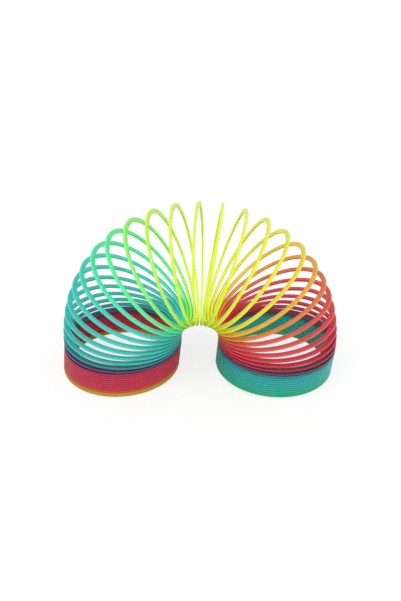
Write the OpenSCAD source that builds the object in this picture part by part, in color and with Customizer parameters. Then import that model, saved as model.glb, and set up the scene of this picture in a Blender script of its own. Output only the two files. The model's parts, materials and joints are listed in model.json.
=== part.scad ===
// Coil spring toy: one long plastic strip wound into turns, set down on both
// ends so that it stands as an arch. Millimetres, +Z up, +X from the left foot
// to the right one, origin on the surface below the middle of the toy.
//
// Each turn is a front half (y < 0) and a back half (y > 0). The halves meet
// end to end in the plane y = 0, at the arch's inner side and at its outer
// side, and the strip flexes about a line along Y through each meeting.

/* [Strip] */
// Outside diameter of a turn
coil_d = 76; // [60:1:100]
// Width of the strip, across the coil's wall
strip_w = 3; // [1.8:0.1:3.6]
// Thickness of the strip, along the coil
strip_t = 1.45; // [1:0.05:2.2]
// Clearance between turns that lie on each other
turn_gap = 0.12; // [0.08:0.01:0.2]

/* [Feet] */
// Closed turns in the left foot's gold length, at the bottom
left_lower_turns = 2; // [1:1:8]
// Closed turns in the left foot's crimson length
left_middle_turns = 6; // [1:1:8]
// Closed turns in the left foot's slate length, under the arch
left_upper_turns = 3; // [1:1:8]
// Closed turns in the right foot's plum length, under the arch
right_upper_turns = 3; // [1:1:8]
// Closed turns in the right foot's teal length
right_middle_turns = 5; // [1:1:8]
// Closed turns in the right foot's green length, at the bottom
right_lower_turns = 3; // [1:1:8]
// How far to the left each closed turn of the left foot sits from the turn above it
left_lean = 0.2; // [0:0.01:0.3]
// How far to the left each closed turn of the right foot sits from the turn above it
right_lean = 0.12; // [0:0.01:0.3]

/* [Arch] */
// Turns between the two feet
arch_turns = 27; // [14:1:27]
// Turns from the crown to where the opening between turns has halved
half_open = 9.2; // [6:0.1:14]
// Turns that the opening takes to fade out towards a foot
fade = 15.8; // [4:0.1:20]
// How far the crown lies past the middle of the turns, in turns
crown_phase = 0.1; // [-0.5:0.05:0.5]
// Distance past the strip's inner edge of the line on which an opening turn rocks
rocking_rim = 1.4; // [1:0.1:2.6]

/* [Hidden] */
mean_d = coil_d - strip_w;
rocking_r = strip_w / 2 + rocking_rim;
foot_pitch = strip_t + turn_gap;
foot_fold = fold_angle(foot_pitch);
halves = 2 * arch_turns;
seam_overrun = 6;
reach = 4 * coil_d;
round_steps = 180;

left_turns = left_lower_turns + left_middle_turns + left_upper_turns;
right_turns = right_upper_turns + right_middle_turns + right_lower_turns;

// Angle between a turn's two halves when its ends are a pitch apart
function fold_angle(pitch) = 2 * asin(pitch / (2 * mean_d));

function sum(list, i = 0) = i == len(list) ? 0 : list[i] + sum(list, i + 1);

// Opening between each two turns, from the left foot to the right one
function smooth(x) = x * x * (3 - 2 * x);
function share(j) = let (away = abs(j - arch_turns / 2 - crown_phase))
    smooth(min(1, max(0, (half_open + fade / 2 - away) / fade)));
shares = [for (j = [0:arch_turns]) share(j)];
openings = (180 + foot_fold) / sum(shares) * shares;

// Each arch turn's pitch at the inner side, its fold and its tilt about its own
// inner-to-outer line, which keeps the strip's slope even from end to end
pitches = [for (j = [0:arch_turns - 1])
    foot_pitch + rocking_r * sin(max(openings[j], openings[j + 1]))];
folds = [for (pitch = pitches) fold_angle(pitch)];
tilts = [for (j = [0:arch_turns - 1]) (openings[j] + openings[j + 1]) / 8];

// Direction of each half from the arch's inner side to its outer side, as its
// angle from -X, turning upwards
function fold_before(j) = j == 0 ? foot_fold : folds[j - 1];
function bend_at(j) = openings[j] + (fold_before(j) + folds[j]) / 2;
function turn_into(h) = h % 2 == 1 ? -folds[floor(h / 2)] : bend_at(h / 2);
leans = [for (h = 0, a = bend_at(0) - foot_fold; h < halves; a = a + (h + 1 < halves ? turn_into(h + 1) : 0),
    h = h + 1) a];
function outward(lean) = [-cos(lean), sin(lean)];

// Where the halves meet: even ends are at the inner side, odd ends at the outer
left_start = [0, strip_t / 2];
left_step = [left_lean - mean_d * (1 - cos(foot_fold)), mean_d * sin(foot_fold)];
left_top = left_start + left_turns * left_step;
ends = [for (h = 0, p = left_top; h <= halves;
    p = p + (h < halves ? (h % 2 == 0 ? 1 : -1) * mean_d * outward(leans[h]) : [0, 0]), h = h + 1) p];
right_top = ends[halves];

// The right foot's turns share out the height that the arch leaves them
right_pitch = (right_top[1] - strip_t / 2) / right_turns;
right_step = [mean_d * (cos(asin(right_pitch / mean_d)) - 1) - right_lean, -right_pitch];

// The whole toy is centred across its two feet
far_left = min(left_start[0], left_top[0]) - mean_d - strip_w / 2;
far_right = right_top[0] + mean_d + strip_w / 2;
centre = [-(far_left + far_right) / 2, 0];

function two_digits(i) = i < 10 ? str("0", i) : str(i);
function half_name(h) = str("turn_", two_digits(floor(h / 2) + 1), h % 2 == 0 ? "_front" : "_back");

// Colours of the feet's lengths
gold = [0.78, 0.55, 0.12];
crimson = [0.75, 0.17, 0.28];
slate = [0.22, 0.28, 0.36];
plum = [0.50, 0.20, 0.32];
teal = [0.16, 0.62, 0.60];
green = [0.12, 0.66, 0.42];

// Colours along the arch, from the left foot to the right one
dyes = [[0.12, 0.52, 0.54], teal, [0.24, 0.86, 0.62], [0.60, 0.90, 0.28], [0.85, 0.90, 0.18],
    [0.93, 0.78, 0.14], [0.90, 0.50, 0.18], [0.86, 0.28, 0.36], crimson];
function dye(along) = let (x = along * (len(dyes) - 1), i = min(len(dyes) - 2, floor(x)))
    dyes[i] + (x - i) * (dyes[i + 1] - dyes[i]);

module strip_section() {
    translate([(mean_d - strip_w) / 2, -strip_t / 2]) square([strip_w, strip_t]);
}

// Half a turn between its inner and outer meeting points, cut off at y = 0
module half_turn(inner, outer, tilt, front) {
    line = outer - inner;
    middle = (inner + outer) / 2;
    intersection() {
        translate([middle[0], 0, middle[1]])
            rotate([0, -atan2(line[1], line[0]), 0])
                rotate([-tilt, 0, 0])
                    rotate_extrude(start = (front ? 180 : 0) - seam_overrun,
                        angle = 180 + 2 * seam_overrun, $fn = round_steps) strip_section();
        translate([-reach, front ? -reach : 0, -reach]) cube([2 * reach, reach, 2 * reach]);
    }
}

// Closed turns of a foot, counted up from the ground
module left_foot(first, count) {
    for (i = [first:first + count - 1]) {
        inner = left_start + i * left_step;
        outer = inner - [mean_d, 0];
        half_turn(inner, outer, 0, true);
        half_turn(inner + left_step, outer, 0, false);
    }
}

// Closed turns of a foot, counted down from the arch
module right_foot(first, count) {
    for (i = [first:first + count - 1]) {
        inner = right_top + i * right_step;
        outer = inner + right_step + [mean_d, 0];
        half_turn(inner, outer, 0, true);
        half_turn(inner + right_step, outer, 0, false);
    }
}

module arch_half(h) {
    inner = ends[h % 2 == 0 ? h : h + 1];
    outer = ends[h % 2 == 0 ? h + 1 : h];
    half_turn(inner, outer, tilts[floor(h / 2)], h % 2 == 0);
}

translate([centre[0], 0, 0]) {
    color(gold) left_foot(0, left_lower_turns);  // left_foot_lower
    color(crimson) left_foot(left_lower_turns, left_middle_turns);  // left_foot_middle
    color(slate) left_foot(left_lower_turns + left_middle_turns, left_upper_turns);  // left_foot_upper
    for (h = [0:halves - 1])
        color(dye(h / (halves - 1))) arch_half(h);
    color(plum) right_foot(0, right_upper_turns);  // right_foot_upper
    color(teal) right_foot(right_upper_turns, right_middle_turns);  // right_foot_middle
    color(green) right_foot(right_upper_turns + right_middle_turns, right_lower_turns);  // right_foot_lower
}
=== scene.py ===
import json
import math

import bmesh
import bpy
from mathutils import Matrix, Quaternion, Vector

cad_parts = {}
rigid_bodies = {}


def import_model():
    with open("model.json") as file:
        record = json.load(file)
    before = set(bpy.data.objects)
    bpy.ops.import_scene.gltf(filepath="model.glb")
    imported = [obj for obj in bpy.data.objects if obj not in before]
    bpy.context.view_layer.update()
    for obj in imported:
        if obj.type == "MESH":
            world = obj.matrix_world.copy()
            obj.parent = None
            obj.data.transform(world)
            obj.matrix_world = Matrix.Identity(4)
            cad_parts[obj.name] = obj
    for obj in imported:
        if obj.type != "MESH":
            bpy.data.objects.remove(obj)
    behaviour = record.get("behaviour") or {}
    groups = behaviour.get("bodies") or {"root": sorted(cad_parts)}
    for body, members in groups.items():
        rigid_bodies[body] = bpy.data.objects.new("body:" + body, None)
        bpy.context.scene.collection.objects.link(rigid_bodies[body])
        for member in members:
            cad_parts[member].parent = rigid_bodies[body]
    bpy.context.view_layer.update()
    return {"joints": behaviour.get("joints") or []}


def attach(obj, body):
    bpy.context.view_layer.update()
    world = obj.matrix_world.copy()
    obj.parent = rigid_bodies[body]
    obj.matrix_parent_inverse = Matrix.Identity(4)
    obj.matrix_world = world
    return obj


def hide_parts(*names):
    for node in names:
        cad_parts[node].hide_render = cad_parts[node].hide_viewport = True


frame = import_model()

# The plastic strip that the whole toy is wound from
strip = {
    "width": 0.003,             # across the coil's wall
    "thickness": 0.00145,       # along the coil
    "cornerRadius": 0.0003,
    "cornerSegments": 4,
    "wideCuts": 2,              # points added across each wide side
    "grooveShadeReach": 0.6,         # share of the rounded corner that lies in the groove and gets painted shade
    "slicesPerHalf": 60,
}

# Closed turns of the two feet, counted along the strip
feet = {
    "leftTurns": {"left_foot_lower": 2, "left_foot_middle": 6, "left_foot_upper": 3},
    "rightTurns": {"right_foot_upper": 3, "right_foot_middle": 5, "right_foot_lower": 3},
    "leftPitch": 0.00157,
    "leftLean": 0.0002,         # how far left each turn sits from the one above it
    "rightLean": 0.00012,
    "grooveShadeFade": 3.0,          # open turns over which the painted shade in the grooves fades out
}

# Pigment along the strip: turn counted from the left foot's end, then its colour on a screen
dye = {
    "stops": [
        (0.0, (190, 158, 30)), (1.1, (192, 154, 30)), (1.9, (200, 104, 36)), (2.8, (202, 70, 60)),
        (4.0, (198, 56, 88)), (10.0, (190, 56, 86)), (10.9, (122, 64, 100)), (11.6, (86, 100, 134)),
        (12.3, (70, 146, 156)), (13.4, (80, 190, 186)), (18.2, (84, 204, 196)), (19.4, (92, 226, 184)),
        (20.4, (98, 238, 160)), (21.6, (146, 238, 112)), (22.8, (206, 238, 78)), (26.5, (220, 234, 64)),
        (29.0, (230, 222, 46)), (30.0, (232, 190, 48)), (31.0, (226, 138, 62)), (32.2, (218, 98, 90)),
        (34.0, (216, 84, 96)), (36.0, (208, 68, 84)), (37.2, (170, 66, 88)), (38.2, (112, 80, 98)),
        (39.1, (70, 132, 142)), (40.6, (58, 172, 172)), (45.5, (52, 176, 162)), (47.2, (38, 178, 146)),
        (49.0, (32, 172, 122)),
    ],
    "drift": 0.35,              # how unevenly the colours run into each other, in turns
    "driftScale": 45.0,
    "mottle": 0.07,
    "streaksAlong": 9.0,        # how often the streaks change in a turn, and round the section
    "streaksAround": 7.0,
    "innerPaintedSaturation": 1.5,     # the side towards the coil's middle is painted more saturated and lighter: painted light against the shade inside the coil
    "innerPaintedValue": 1.6,
    "strength": 0.97,           # how much of the screen colour the pigment itself gives
    "depth": 0.05,              # taken off all three colours, for what the gloss adds to them
}

finish = {
    "roughness": 0.36,
    "roughnessSpread": 0.14,
    "grooveShade": 0.45,             # how much darker the corners are painted where turns lie on each other: painted shade in the grooves
    "rubbedEdgeAndHighlight": 0.12,         # how much the corners are paled: wear where they slide on each other, and painted highlight
    "rubbedRoughness": 0.12,
    "patchScale": 420.0,
    "drawLines": 0.12,          # fine lines that run along the strip
    "drawLineHeight": 0.00008,
    "coat": 0.06,
    "specular": 0.4,
    "subsurface": 0.3,
}


# Where the strip passes from one half turn to the next, from end to end

def flexesFrom(body):
    left, walk = list(frame["joints"]), []
    while True:
        joint = next((j for j in left if body in (j["parent"], j["child"])), None)
        if joint is None:
            return walk
        left.remove(joint)
        body = joint["child"] if joint["parent"] == body else joint["parent"]
        walk.append((Vector(joint["pos_m"]), body))


def leanOf(inner, outer):
    lean = math.atan2(outer.z - inner.z, inner.x - outer.x)
    return lean if lean > -math.pi / 2 else lean + 2 * math.pi


flexes = flexesFrom("left_foot")
archPoints = [point for point, _ in flexes]
meanDiameter = (archPoints[1] - archPoints[0]).length
leftCount, rightCount = sum(feet["leftTurns"].values()), sum(feet["rightTurns"].values())

foldAngle = 2 * math.asin(feet["leftPitch"] / (2 * meanDiameter))
leftStep = meanDiameter * Vector((math.cos(foldAngle) - 1, 0, math.sin(foldAngle)))
leftStep.x += feet["leftLean"]
rightPitch = (archPoints[-1].z - strip["thickness"] / 2) / rightCount
rightStep = Vector((math.sqrt(meanDiameter ** 2 - rightPitch ** 2) - meanDiameter, 0, -rightPitch))
rightStep.x -= feet["rightLean"]

meetings = []
for turn in range(leftCount, 0, -1):
    inner = archPoints[0] - turn * leftStep
    meetings += [inner, inner - Vector((meanDiameter, 0, 0))]
meetings += archPoints
for turn in range(rightCount):
    inner = archPoints[-1] + turn * rightStep
    meetings += [inner + rightStep + Vector((meanDiameter, 0, 0)), inner + rightStep]

halfCount = len(meetings) - 1
leans = [leanOf(meetings[h + h % 2], meetings[h + 1 - h % 2]) for h in range(halfCount)]
endLeans = [leans[0]] + [(a + b) / 2 for a, b in zip(leans, leans[1:])] + [leans[-1]]
stripLength = halfCount * math.pi * meanDiameter / 2
print("strip laid out:", halfCount // 2, "turns,", round(stripLength, 2), "m of strip")


# One half turn is a section swept round half a circle, then each slice is turned and slid into place

def stripSection(bm, around, rubbedHighlightMask, grooveShade):
    halfWidth, halfHeight = strip["width"] / 2, strip["thickness"] / 2
    corners = [bm.verts.new((x * halfWidth, 0, z * halfHeight))
               for x, z in ((-1, -1), (1, -1), (1, 1), (-1, 1))]
    bm.faces.new(corners)
    bmesh.ops.bevel(bm, geom=corners, offset=strip["cornerRadius"], offset_type="OFFSET",
                    segments=strip["cornerSegments"], profile=0.5, affect="VERTICES", material=-1)
    bmesh.ops.delete(bm, geom=list(bm.faces), context="FACES_ONLY")
    # the wide sides get more points, so that the paled corners, worn and with painted highlight, fade out on
    # them
    wide = [e for e in bm.edges if e.calc_length() > halfWidth]
    bmesh.ops.subdivide_edges(bm, edges=wide, cuts=strip["wideCuts"])
    for v in bm.verts:
        v[around] = math.atan2(v.co.z / halfHeight, v.co.x / halfWidth) / math.pi
        # the corners and the narrow sides are marked for paling, as wear and as painted highlight
        v[rubbedHighlightMask] = 1.0 if abs(v.co.x) > halfWidth - strip["cornerRadius"] * 1.01 else 0.0
        # the corners that lie against the next turns are marked for painted shade
        v[grooveShade] = 1.0 if abs(v.co.z) > halfHeight - strip["cornerRadius"] * strip["grooveShadeReach"] else 0.0
    return list(bm.edges)


def halfTurn(index):
    bm = bmesh.new()
    along = bm.verts.layers.float.new("alongStrip")
    around = bm.verts.layers.float.new("aroundStrip")
    rubbedHighlightMask = bm.verts.layers.float.new("rubbedHighlightShare")
    grooveShade = bm.verts.layers.float.new("grooveShadeShare")
    loop = stripSection(bm, around, rubbedHighlightMask, grooveShade)
    front = index % 2 == 0
    radius, slices = meanDiameter / 2, strip["slicesPerHalf"]
    bmesh.ops.spin(bm, geom=loop + list(bm.verts), cent=(-radius, 0, 0), axis=(0, 0, 1), dvec=(0, 0, 0),
                   angle=-math.pi if front else math.pi, steps=slices, use_merge=False, use_normal_flip=False,
                   use_duplicate=False)
    inner, outer = (index, index + 1) if front else (index + 1, index)
    p, q = meetings[inner], meetings[outer]
    reach = Matrix.Rotation(endLeans[outer], 3, "Y") @ Vector((-meanDiameter, 0, 0))
    slide = (q - p) - reach
    bySlice = {}
    for v in bm.verts:
        turned = math.atan2(abs(v.co.y), v.co.x + radius) / math.pi
        bySlice.setdefault(round(turned * slices), []).append(v)
    for k, verts in bySlice.items():
        share = k / slices
        lean = endLeans[inner] + (endLeans[outer] - endLeans[inner]) * share
        bmesh.ops.rotate(bm, cent=(0, 0, 0), matrix=Matrix.Rotation(lean, 3, "Y"), verts=verts)
        bmesh.ops.translate(bm, vec=p + slide * share, verts=verts)
        for v in verts:
            v[along] = (index + (share if front else 1 - share)) / 2
            openTurns = min(v[along] - leftCount, halfCount / 2 - rightCount - v[along])
            # the painted shade in the grooves fades out over the open turns
            v[grooveShade] *= min(1.0, max(0.0, 1.0 - openTurns / feet["grooveShadeFade"]))
    return bm


def stripPiece(name, halves):
    mesh = bpy.data.meshes.new(name)
    for index in halves:
        part = halfTurn(index)
        if len(halves) > 1:
            part.from_mesh(mesh)
        part.to_mesh(mesh)
        part.free()
    bm = bmesh.new()
    bm.from_mesh(mesh)
    if len(halves) > 1:
        bmesh.ops.remove_doubles(bm, verts=bm.verts, dist=1e-6)
    caps = bmesh.ops.holes_fill(bm, edges=[e for e in bm.edges if e.is_boundary], sides=0)["faces"]
    bmesh.ops.recalc_face_normals(bm, faces=bm.faces)
    for f in bm.faces:
        f.smooth = True
    for cap in caps:
        for e in cap.edges:
            e.smooth = False
    bm.to_mesh(mesh)
    bm.free()
    piece = bpy.data.objects.new(name, mesh)
    bpy.context.scene.collection.objects.link(piece)
    return piece


# Materials

def linearColour(screen):
    linear = [((c / 255 + 0.055) / 1.055) ** 2.4 for c in screen]
    return [max(0.004, c * dye["strength"] - dye["depth"]) for c in linear] + [1.0]


class NodeKit:
    def __init__(self, tree):
        self.tree = tree

    def add(self, kind, values=None, **settings):
        node = self.tree.nodes.new(kind)
        for key, value in settings.items():
            setattr(node, key, value)
        for key, value in (values or {}).items():
            node.inputs[key].default_value = value
        return node

    def link(self, a, b):
        self.tree.links.new(a, b)


def rainbowPlastic():
    material = bpy.data.materials.new("rainbowPlastic")
    material.use_nodes = True
    kit = NodeKit(material.node_tree)
    shader = material.node_tree.nodes["Principled BSDF"]
    along = kit.add("ShaderNodeAttribute", attribute_name="alongStrip")
    around = kit.add("ShaderNodeAttribute", attribute_name="aroundStrip")
    rubbedHighlightMask = kit.add("ShaderNodeAttribute", attribute_name="rubbedHighlightShare")
    grooveShade = kit.add("ShaderNodeAttribute", attribute_name="grooveShadeShare")
    place = kit.add("ShaderNodeTexCoord")

    # pigment, with the colours running into each other a little unevenly
    wander = kit.add("ShaderNodeTexNoise", {"Scale": dye["driftScale"], "Detail": 3.0, "Roughness": 0.6})
    kit.link(place.outputs["Object"], wander.inputs["Vector"])
    centred = kit.add("ShaderNodeMath", {1: 0.5}, operation="SUBTRACT")
    kit.link(wander.outputs["Fac"], centred.inputs[0])
    drifted = kit.add("ShaderNodeMath", {1: dye["drift"]}, operation="MULTIPLY_ADD")
    kit.link(centred.outputs[0], drifted.inputs[0])
    kit.link(along.outputs["Fac"], drifted.inputs[2])
    share = kit.add("ShaderNodeMath", {1: dye["stops"][-1][0]}, operation="DIVIDE")
    kit.link(drifted.outputs[0], share.inputs[0])
    ramp = kit.add("ShaderNodeValToRGB")
    stops = ramp.color_ramp.elements
    total = dye["stops"][-1][0]
    stops[0].position, stops[0].color = 0.0, linearColour(dye["stops"][0][1])
    stops[1].position, stops[1].color = 1.0, linearColour(dye["stops"][-1][1])
    for turn, colour in dye["stops"][1:-1]:
        stops.new(turn / total).color = linearColour(colour)
    kit.link(share.outputs[0], ramp.inputs["Fac"])

    # streaks that were drawn out along the strip when it was moulded
    lengthwise = kit.add("ShaderNodeCombineXYZ")
    stretched = kit.add("ShaderNodeMath", {1: dye["streaksAlong"]}, operation="MULTIPLY")
    kit.link(along.outputs["Fac"], stretched.inputs[0])
    wound = kit.add("ShaderNodeMath", {1: dye["streaksAround"]}, operation="MULTIPLY")
    kit.link(around.outputs["Fac"], wound.inputs[0])
    kit.link(stretched.outputs[0], lengthwise.inputs["X"])
    kit.link(wound.outputs[0], lengthwise.inputs["Y"])
    streaks = kit.add("ShaderNodeTexNoise", {"Scale": 1.6, "Detail": 4.0, "Roughness": 0.55})
    kit.link(lengthwise.outputs[0], streaks.inputs["Vector"])
    brightness = kit.add("ShaderNodeMapRange", {"From Min": 0.3, "From Max": 0.7,
                                                "To Min": 1 - dye["mottle"],
                                                "To Max": 1 + dye["mottle"]})
    kit.link(streaks.outputs["Fac"], brightness.inputs["Value"])
    mottled = kit.add("ShaderNodeHueSaturation")
    kit.link(brightness.outputs[0], mottled.inputs["Value"])
    kit.link(ramp.outputs["Color"], mottled.inputs["Color"])

    # corners painted paler: rubbed where the turns slide on each other, and a painted highlight along the
    # strip's edges
    patchy = kit.add("ShaderNodeTexNoise", {"Scale": finish["patchScale"], "Detail": 5.0, "Roughness": 0.65})
    kit.link(place.outputs["Object"], patchy.inputs["Vector"])
    wornAndHighlitWhere = kit.add("ShaderNodeMapRange", {"From Min": 0.35, "From Max": 0.65,
                                                 "To Min": 0.25, "To Max": 1.0})
    kit.link(patchy.outputs["Fac"], wornAndHighlitWhere.inputs["Value"])
    rubbedAndHighlit = kit.add("ShaderNodeMath", operation="MULTIPLY")
    kit.link(rubbedHighlightMask.outputs["Fac"], rubbedAndHighlit.inputs[0])
    kit.link(wornAndHighlitWhere.outputs[0], rubbedAndHighlit.inputs[1])
    amount = kit.add("ShaderNodeMath", {1: finish["rubbedEdgeAndHighlight"]}, operation="MULTIPLY")
    kit.link(rubbedAndHighlit.outputs[0], amount.inputs[0])
    paler = kit.add("ShaderNodeHueSaturation", {"Saturation": 0.82, "Value": 1.35})
    kit.link(mottled.outputs["Color"], paler.inputs["Color"])
    # painted light: the side towards the coil's middle is made more saturated and lighter
    side = kit.add("ShaderNodeMath", operation="ABSOLUTE")
    kit.link(around.outputs["Fac"], side.inputs[0])
    inner = kit.add("ShaderNodeMapRange", {"From Min": 0.7, "From Max": 0.8}, interpolation_type="SMOOTHSTEP")
    kit.link(side.outputs[0], inner.inputs["Value"])
    innerPaintedLight = kit.add("ShaderNodeHueSaturation", {"Saturation": dye["innerPaintedSaturation"],
                                                 "Value": dye["innerPaintedValue"]})
    colour = kit.add("ShaderNodeMix", data_type="RGBA")
    # sockets 6, 7 and 2 are the two colours that go in and the one that comes out
    kit.link(amount.outputs[0], colour.inputs["Factor"])
    kit.link(mottled.outputs["Color"], colour.inputs[6])
    kit.link(paler.outputs["Color"], colour.inputs[7])
    kit.link(colour.outputs[2], innerPaintedLight.inputs["Color"])
    kit.link(inner.outputs[0], innerPaintedLight.inputs["Fac"])

    # painted shade: the corners are darkened in the grooves between closed turns, where hardly any light
    # comes back out
    shade = kit.add("ShaderNodeMapRange", {"To Min": 1.0, "To Max": 1.0 - finish["grooveShade"]})
    kit.link(grooveShade.outputs["Fac"], shade.inputs["Value"])
    grooveShaded = kit.add("ShaderNodeHueSaturation")
    kit.link(shade.outputs[0], grooveShaded.inputs["Value"])
    kit.link(innerPaintedLight.outputs["Color"], grooveShaded.inputs["Color"])
    kit.link(grooveShaded.outputs["Color"], shader.inputs["Base Color"])

    # gloss, duller where it is rubbed
    base = kit.add("ShaderNodeMapRange", {"From Min": 0.3, "From Max": 0.7,
                                          "To Min": finish["roughness"] - finish["roughnessSpread"] / 2,
                                          "To Max": finish["roughness"] + finish["roughnessSpread"] / 2})
    kit.link(patchy.outputs["Fac"], base.inputs["Value"])
    dulled = kit.add("ShaderNodeMath", {1: finish["rubbedRoughness"]}, operation="MULTIPLY_ADD")
    kit.link(rubbedAndHighlit.outputs[0], dulled.inputs[0])
    kit.link(base.outputs[0], dulled.inputs[2])
    kit.link(dulled.outputs[0], shader.inputs["Roughness"])

    # fine draw lines and a faint waviness
    relief = kit.add("ShaderNodeTexNoise", {"Scale": 1.3, "Detail": 1.0, "Roughness": 0.5})
    kit.link(lengthwise.outputs[0], relief.inputs["Vector"])
    bump = kit.add("ShaderNodeBump", {"Strength": finish["drawLines"], "Distance": finish["drawLineHeight"]})
    kit.link(relief.outputs["Fac"], bump.inputs["Height"])
    kit.link(bump.outputs["Normal"], shader.inputs["Normal"])

    shader.inputs["IOR"].default_value = 1.5
    shader.inputs["Specular IOR Level"].default_value = finish["specular"]
    shader.inputs["Coat Weight"].default_value = finish["coat"]
    shader.inputs["Coat Roughness"].default_value = 0.2
    shader.inputs["Subsurface Weight"].default_value = finish["subsurface"]
    shader.inputs["Subsurface Radius"].default_value = (1.0, 1.0, 1.0)
    shader.inputs["Subsurface Scale"].default_value = 0.0012
    return material


plastic = rainbowPlastic()

# Each solid of the frame is stood for by one length of the strip
lengths, start = [], 0
for node, turns in feet["leftTurns"].items():
    lengths.append((node, "left_foot", list(range(start, start + 2 * turns))))
    start += 2 * turns
for _, body in flexes[:-1]:
    lengths.append((body, body, [start]))
    start += 1
for node, turns in feet["rightTurns"].items():
    lengths.append((node, "right_foot", list(range(start, start + 2 * turns))))
    start += 2 * turns

for node, body, halves in lengths:
    name = "strip_" + node
    piece = stripPiece(name, halves)
    piece.data.materials.append(plastic)
    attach(piece, body)
    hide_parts(node)
print("strip wound:", len(lengths), "lengths")


# Stage

stage = {
    "floorSize": 12.0,
    "floorColour": (0.94, 0.94, 0.94, 1.0),
    "floorGlow": 0.75,          # share of its own white in how the floor looks
    "worldStrength": 0.85,
    # name, where it comes from, its spread in degrees, its strength
    "lights": [
        ("keyLight", (-0.5, -0.8, 1.3), 50.0, 0.95),
        ("fillLight", (0.9, -0.6, 0.9), 70.0, 0.45),
    ],
}

floorMesh = bpy.data.meshes.new("floor")
bm = bmesh.new()
bmesh.ops.create_grid(bm, x_segments=1, y_segments=1, size=stage["floorSize"] / 2)
bm.to_mesh(floorMesh)
bm.free()
floor = bpy.data.objects.new("floor", floorMesh)
bpy.context.scene.collection.objects.link(floor)
floorMaterial = bpy.data.materials.new("paleFloor")
floorMaterial.use_nodes = True
floorShader = floorMaterial.node_tree.nodes["Principled BSDF"]
floorShader.inputs["Base Color"].default_value = stage["floorColour"]
floorShader.inputs["Roughness"].default_value = 0.9
floorShader.inputs["Specular IOR Level"].default_value = 0.1
floorKit = NodeKit(floorMaterial.node_tree)
floorOutput = floorMaterial.node_tree.nodes["Material Output"]
glow = floorKit.add("ShaderNodeEmission", {"Color": (1.0, 1.0, 1.0, 1.0), "Strength": 1.0})
whoLooks = floorKit.add("ShaderNodeLightPath")
glowShare = floorKit.add("ShaderNodeMath", {1: stage["floorGlow"]}, operation="MULTIPLY")
floorKit.link(whoLooks.outputs["Is Camera Ray"], glowShare.inputs[0])
floorMix = floorKit.add("ShaderNodeMixShader")
floorKit.link(glowShare.outputs[0], floorMix.inputs["Fac"])
floorKit.link(floorShader.outputs["BSDF"], floorMix.inputs[1])
floorKit.link(glow.outputs["Emission"], floorMix.inputs[2])
floorKit.link(floorMix.outputs["Shader"], floorOutput.inputs["Surface"])
floorMesh.materials.append(floorMaterial)

world = bpy.data.worlds.new("paleRoom")
bpy.context.scene.world = world
world.use_nodes = True
backdrop = world.node_tree.nodes["Background"]
backdrop.inputs["Color"].default_value = (1.0, 1.0, 1.0, 1.0)
kit = NodeKit(world.node_tree)
seen = kit.add("ShaderNodeLightPath")       # the backdrop itself looks white, whatever it adds to the light
level = kit.add("ShaderNodeMapRange", {"To Min": stage["worldStrength"], "To Max": 1.0})
kit.link(seen.outputs["Is Camera Ray"], level.inputs["Value"])
kit.link(level.outputs[0], backdrop.inputs["Strength"])

for name, source, spread, strength in stage["lights"]:
    light = bpy.data.lights.new(name, "SUN")
    light.angle, light.energy = math.radians(spread), strength
    lamp = bpy.data.objects.new(name, light)
    lamp.location = source
    lamp.rotation_euler = (-Vector(source)).to_track_quat("-Z", "Y").to_euler()
    bpy.context.scene.collection.objects.link(lamp)

shot = {
    "target": (0.00148, 0.0, 0.04745),
    "distance": 0.42929,
    "azimuth": 1.0,
    "elevation": 29.94,
    "roll": -0.2,
    "lens": 61.2,
}
a, e = math.radians(shot["azimuth"]), math.radians(shot["elevation"])
back = Vector((math.sin(a) * math.cos(e), -math.cos(a) * math.cos(e), math.sin(e)))
camera = bpy.data.objects.new("camera", bpy.data.cameras.new("camera"))
camera.data.sensor_fit = "HORIZONTAL"
camera.data.sensor_width = 36.0
camera.data.lens = shot["lens"]
camera.data.clip_start, camera.data.clip_end = 0.01, 50.0
camera.location = Vector(shot["target"]) + back * shot["distance"]
roll = Quaternion((0.0, 0.0, 1.0), math.radians(shot["roll"]))
camera.rotation_euler = ((-back).to_track_quat("-Z", "Y") @ roll).to_euler()
bpy.context.scene.collection.objects.link(camera)
bpy.context.scene.camera = camera
bpy.context.scene.view_settings.view_transform = "Standard"
print("stage set")
